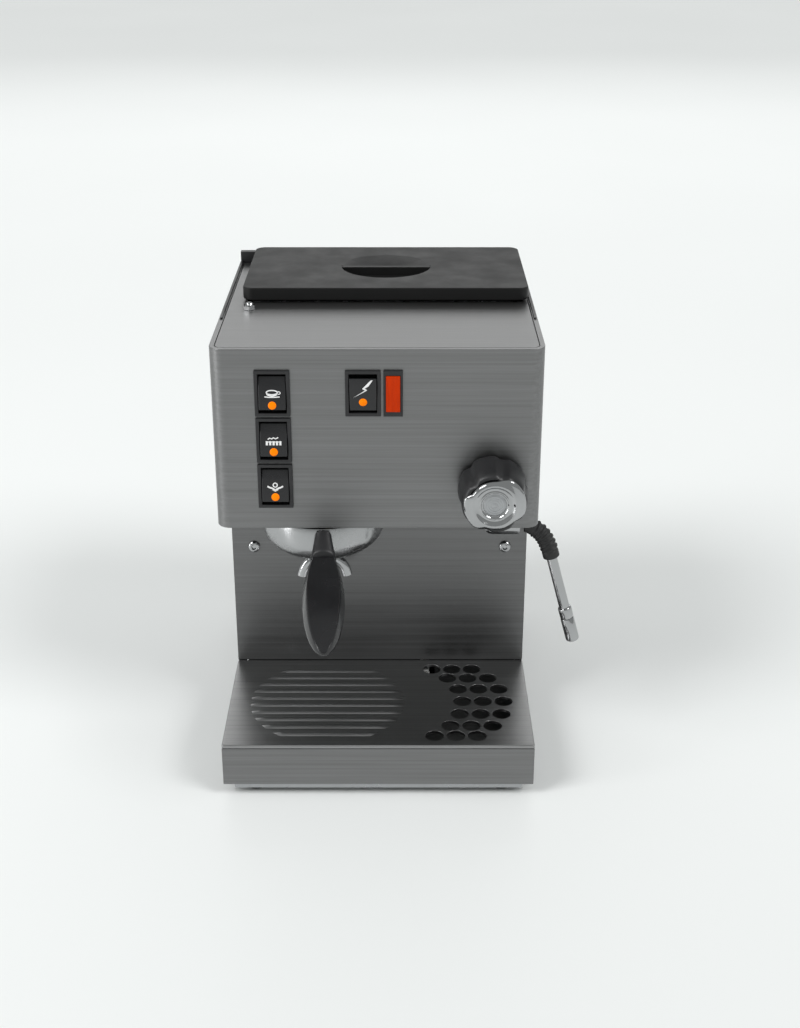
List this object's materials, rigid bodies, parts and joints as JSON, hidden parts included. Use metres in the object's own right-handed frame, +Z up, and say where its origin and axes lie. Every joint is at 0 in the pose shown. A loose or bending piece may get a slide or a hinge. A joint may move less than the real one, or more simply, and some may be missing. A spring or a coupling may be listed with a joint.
{
  "type": "espresso machine",
  "caption": "Single-boiler home espresso machine: steel body, rocker switches, steam tap and wand, filter holder, drip tray and lift-out water tank.",
  "frame": {"origin": "centre of the bounding box's base, on the surface the feet stand on", "axes": "+Z up, the front of the machine faces -Y, +X is to the right seen from the front"},
  "size_m": [0.2716, 0.3644, 0.34],
  "materials": {
    "brushed_steel": "fine horizontal brushing",
    "galvanised_steel": "plain zinc",
    "painted_steel": "satin black powder coat",
    "chrome": "polished chrome plate",
    "black_plastic": "fine satin",
    "gloss_black": "glossy",
    "rubber": "matte",
    "brass": "machined",
    "copper": "drawn tube",
    "tank_plastic": "milky translucent",
    "silicone": "milky silicone",
    "orange_lens": "translucent orange"
  },
  "bodies": {
    "machine": {"foot_front_left": "rubber", "foot_front_right": "rubber", "foot_rear_left": "rubber", "foot_rear_right": "rubber", "head_shell": "brushed_steel", "splash_panel": "brushed_steel", "side_panel_left": "brushed_steel", "side_panel_right": "brushed_steel", "rear_panel": "brushed_steel", "top_plate": "brushed_steel", "base_pan": "galvanised_steel", "pump_bracket": "galvanised_steel", "thermostat": "galvanised_steel", "chassis_frame": "painted_steel", "head_floor": "painted_steel", "solenoid_valve": "painted_steel", "top_guard": "black_plastic", "lamp_housing": "black_plastic", "pump": "black_plastic", "cable_gland": "black_plastic", "brew_switch_housing": "black_plastic", "water_switch_housing": "black_plastic", "steam_switch_housing": "black_plastic", "power_switch_housing": "black_plastic", "lamp_lens": "orange_lens", "feed_hose": "silicone", "drain_pipe": "silicone", "group_head": "brass", "boiler": "brass", "steam_valve": "brass", "relief_valve": "brass", "group_gasket": "rubber", "shower_screen": "chrome", "wand_socket": "chrome", "splash_screw_left": "chrome", "splash_screw_right": "chrome", "top_screw": "chrome", "heating_element": "copper", "pressure_pipe": "copper", "steam_pipe": "copper"},
    "brew_rocker": {"brew_switch_rocker": "gloss_black"},
    "water_rocker": {"water_switch_rocker": "gloss_black"},
    "steam_rocker": {"steam_switch_rocker": "gloss_black"},
    "power_rocker": {"power_switch_rocker": "gloss_black"},
    "steam_tap": {"steam_knob": "black_plastic", "knob_cap": "chrome", "valve_stem": "brass"},
    "wand_pivot": {"wand_ball": "chrome"},
    "steam_wand": {"wand_tube": "chrome", "wand_sleeve": "rubber", "wand_tip": "chrome"},
    "filter_holder": {"filter_holder": "chrome", "filter_basket": "chrome", "spout": "chrome", "handle_neck": "black_plastic", "holder_handle": "gloss_black"},
    "drip_tray": {"drip_tray": "brushed_steel"},
    "tray_cover": {"tray_cover": "brushed_steel"},
    "water_tank": {"water_tank": "tank_plastic"},
    "tank_lid": {"tank_lid": "black_plastic"}
  },
  "joints": [
    {"name": "brew_rocker_tilt", "type": "hinge", "parent": "machine", "child": "brew_rocker", "pos_m": [-0.09192, -0.06298, 0.2962], "axis": [1, 0, 0], "range_deg": [0, 14]},
    {"name": "water_rocker_tilt", "type": "hinge", "parent": "machine", "child": "water_rocker", "pos_m": [-0.09192, -0.06298, 0.261], "axis": [1, 0, 0], "range_deg": [0, 14]},
    {"name": "steam_rocker_tilt", "type": "hinge", "parent": "machine", "child": "steam_rocker", "pos_m": [-0.09192, -0.06298, 0.2258], "axis": [1, 0, 0], "range_deg": [0, 14]},
    {"name": "power_rocker_tilt", "type": "hinge", "parent": "machine", "child": "power_rocker", "pos_m": [-0.02822, -0.06298, 0.2962], "axis": [1, 0, 0], "range_deg": [-14, 0]},
    {"name": "steam_tap_turn", "type": "hinge", "parent": "machine", "child": "steam_tap", "pos_m": [0.06398, -0.06618, 0.226], "axis": [0, -1, 0], "range_deg": [0, 540]},
    {"name": "wand_tilt", "type": "hinge", "parent": "machine", "child": "wand_pivot", "pos_m": [0.08268, -0.04118, 0.184], "axis": [0, 1, 0], "range_deg": [-5, 8]},
    {"name": "wand_swing", "type": "hinge", "parent": "wand_pivot", "child": "steam_wand", "pos_m": [0.08268, -0.04118, 0.184], "axis": [0.9878, 0, -0.156], "range_deg": [-40, 40]},
    {"name": "holder_lock_turn", "type": "hinge", "parent": "machine", "child": "filter_holder", "pos_m": [-0.06062, -0.01868, 0.18], "axis": [0, 0, 1], "range_deg": [-45, 0]},
    {"name": "tray_pull", "type": "slide", "parent": "machine", "child": "drip_tray", "axis": [0, -1, 0], "range_m": [0, 0.17]},
    {"name": "cover_lift", "type": "slide", "parent": "drip_tray", "child": "tray_cover", "axis": [0, 0, 1], "range_m": [0, 0.03]},
    {"name": "tank_lift", "type": "slide", "parent": "machine", "child": "water_tank", "axis": [0, 0, 1], "range_m": [0, 0.2]},
    {"name": "lid_lift", "type": "slide", "parent": "water_tank", "child": "tank_lid", "axis": [0, 0, 1], "range_m": [0, 0.06]}
  ]
}
